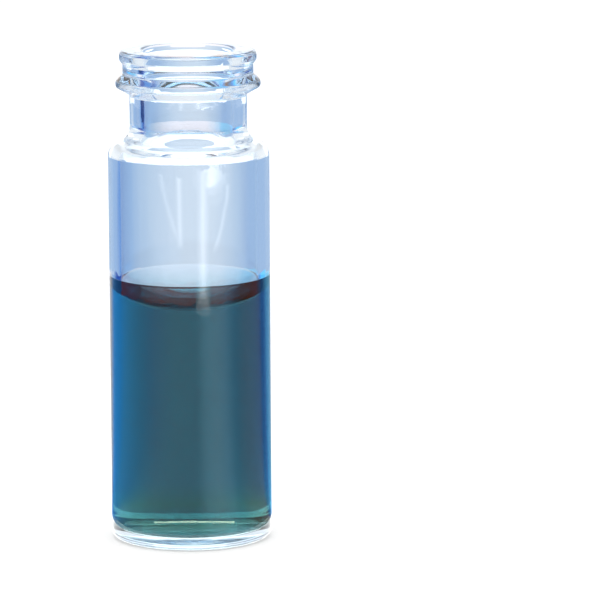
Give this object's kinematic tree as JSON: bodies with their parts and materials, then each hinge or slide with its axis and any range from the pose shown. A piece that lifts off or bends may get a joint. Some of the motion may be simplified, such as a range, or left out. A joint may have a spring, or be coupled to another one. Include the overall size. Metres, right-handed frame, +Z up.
{
  "type": "glass sample vial",
  "caption": "Small clear glass laboratory vial with a snap-ring neck finish, a short neck and a rounded shoulder, part filled with a blue-green liquid sample.",
  "frame": {"origin": "centre of the ring that the vial stands on, on its axis", "axes": "+Z up along the vial's axis, towards the lip; the vial is round, so X and Y are free"},
  "size_m": [0.0148, 0.0146, 0.045],
  "materials": {
    "clear_glass": "smooth fire-polished borosilicate glass, clear with a faint cool tint",
    "liquid": "clear, strongly coloured blue-green water-based solution"
  },
  "bodies": {
    "root": {"vial": "clear_glass", "liquid_sample": "liquid"}
  },
  "joints": []
}
